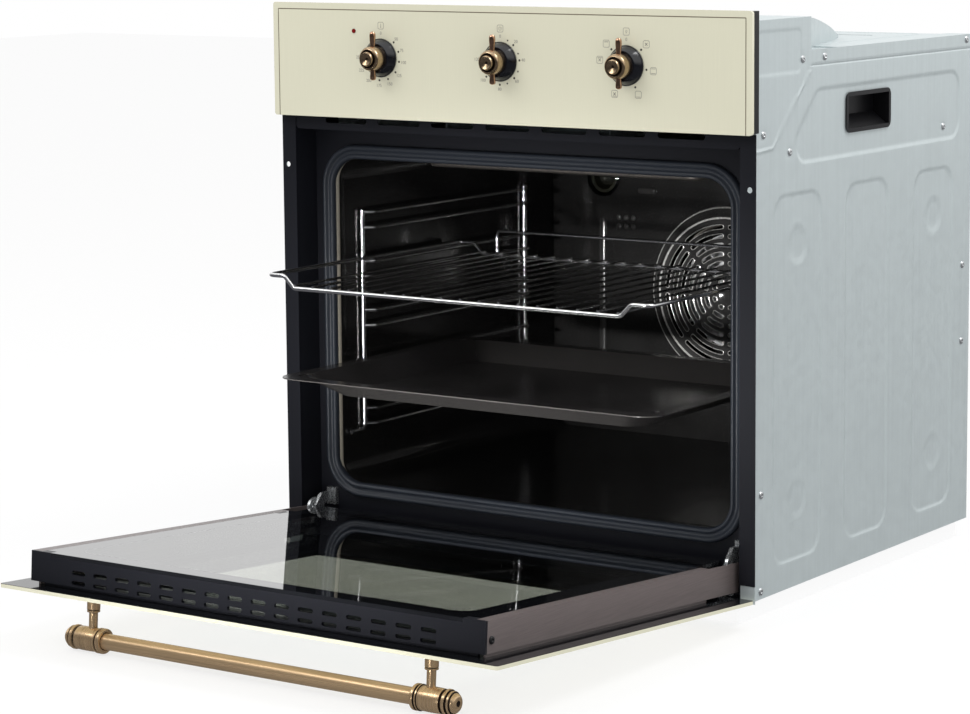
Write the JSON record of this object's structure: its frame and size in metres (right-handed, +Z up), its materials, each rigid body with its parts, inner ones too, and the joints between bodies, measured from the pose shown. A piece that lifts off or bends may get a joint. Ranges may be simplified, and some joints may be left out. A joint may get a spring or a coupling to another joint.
{
  "type": "built-in oven",
  "caption": "Built-in electric oven with drop-down glazed door, bar handle, rotary knobs, fan cavity, side racks, wire shelf and baking tray.",
  "frame": {"origin": "centre of the underside of the casing", "axes": "+X to the right seen from the front, +Y from the front to the back, +Z up; the front faces -Y"},
  "size_m": [0.595, 0.9773, 0.6175],
  "materials": {
    "galvanised": "light grey coated sheet",
    "black_paint": "semi-gloss black",
    "dark_enamel": "glossy dark enamel",
    "tray_enamel": "glossy dark enamel",
    "cream_enamel": "glossy cream",
    "gasket_rubber": "matt",
    "mineral_wool": "fibrous",
    "black_plastic": "satin",
    "switch_plastic": "matt",
    "red_lens": "glossy",
    "chrome_wire": "bright",
    "element_steel": "dull",
    "motor_steel": "dull",
    "bright_steel": "zinc plated",
    "profile_aluminium": "anodised, brownish grey",
    "aluminium": "plain",
    "antique_brass": "brushed antique",
    "clear_glass": "clear",
    "lens_glass": "frosted"
  },
  "bodies": {
    "casing": {"side_panel_left": "galvanised", "side_panel_right": "galvanised", "base_panel": "galvanised", "rear_cover": "galvanised", "cable_gland": "black_plastic", "top_cover": "galvanised", "air_duct_cover": "galvanised", "housing_cover": "galvanised", "bottom_rail": "black_paint", "mounting_columns": "black_paint", "cavity_liner": "dark_enamel", "front_frame": "black_paint", "door_gasket": "gasket_rubber", "insulation": "mineral_wool", "vent_strip": "black_paint", "control_panel": "cream_enamel", "panel_frame": "black_plastic", "switch_bracket": "galvanised", "thermostat": "switch_plastic", "timer": "switch_plastic", "function_switch": "switch_plastic", "pilot_lamp": "red_lens", "rack_left": "chrome_wire", "rack_right": "chrome_wire", "fan_cover": "dark_enamel", "fan_motor": "motor_steel", "ring_element": "element_steel", "grill_element": "element_steel", "bottom_element": "element_steel", "oven_lamp": "switch_plastic", "lamp_lens": "lens_glass", "blower_housing": "galvanised", "hinge_receivers": "bright_steel", "hinge_arms": "bright_steel", "carry_grips": "black_plastic", "casing_screws": "bright_steel"},
    "door": {"door_outer_glass": "cream_enamel", "door_middle_glass": "clear_glass", "door_inner_glass": "clear_glass", "door_top_trim": "black_paint", "door_side_profiles": "profile_aluminium", "door_bottom_rail": "black_paint", "door_clips": "black_plastic", "hinge_bodies": "bright_steel", "hinge_springs": "bright_steel", "handle_bar": "antique_brass", "handle_ends": "antique_brass"},
    "shelf": {"shelf_grid": "chrome_wire", "shelf_guard": "chrome_wire"},
    "tray": {"baking_tray": "tray_enamel"},
    "temperature_knob": {"temperature_skirt": "black_plastic", "temperature_grip": "antique_brass"},
    "timer_knob": {"timer_skirt": "black_plastic", "timer_grip": "antique_brass"},
    "function_knob": {"function_skirt": "black_plastic", "function_grip": "antique_brass"},
    "fan": {"convection_fan": "aluminium"},
    "blower": {"blower_wheel": "aluminium"},
    "lock_left": {"hinge_lock_left": "bright_steel"},
    "lock_right": {"hinge_lock_right": "bright_steel"}
  },
  "joints": [
    {"name": "door_hinge", "type": "hinge", "parent": "casing", "child": "door", "pos_m": [0, -0.2577, 0.0165], "axis": [-1, 0, 0], "range_deg": [0, 85.84]},
    {"name": "shelf_slide", "type": "slide", "parent": "casing", "child": "shelf", "axis": [0, 1, 0], "range_m": [0, 0.156]},
    {"name": "tray_slide", "type": "slide", "parent": "casing", "child": "tray", "axis": [0, 1, 0], "range_m": [0, 0.156]},
    {"name": "temperature_turn", "type": "hinge", "parent": "casing", "child": "temperature_knob", "pos_m": [-0.153, -0.2686, 0.5405], "axis": [0, 1, 0], "range_deg": [0, 270]},
    {"name": "timer_turn", "type": "hinge", "parent": "casing", "child": "timer_knob", "pos_m": [0, -0.2686, 0.5405], "axis": [0, 1, 0], "range_deg": [0, 285]},
    {"name": "function_turn", "type": "hinge", "parent": "casing", "child": "function_knob", "pos_m": [0.153, -0.2686, 0.5405], "axis": [0, 1, 0], "continuous": true},
    {"name": "fan_spin", "type": "hinge", "parent": "casing", "child": "fan", "pos_m": [0, 0.213, 0.245], "axis": [0, 1, 0], "continuous": true},
    {"name": "blower_spin", "type": "hinge", "parent": "casing", "child": "blower", "pos_m": [0, -0.153, 0.508], "axis": [1, 0, 0], "continuous": true},
    {"name": "lock_left_flip", "type": "hinge", "parent": "casing", "child": "lock_left", "pos_m": [-0.2645, -0.251, 0.04], "axis": [1, 0, 0], "range_deg": [0, 110]},
    {"name": "lock_right_flip", "type": "hinge", "parent": "casing", "child": "lock_right", "pos_m": [0.2645, -0.251, 0.04], "axis": [1, 0, 0], "range_deg": [0, 110]}
  ],
  "couplings": [
    {"joint": "shelf_slide", "follows": "door_hinge", "m_per_rad": 0.10346},
    {"joint": "tray_slide", "follows": "door_hinge", "m_per_rad": 0.10346}
  ]
}
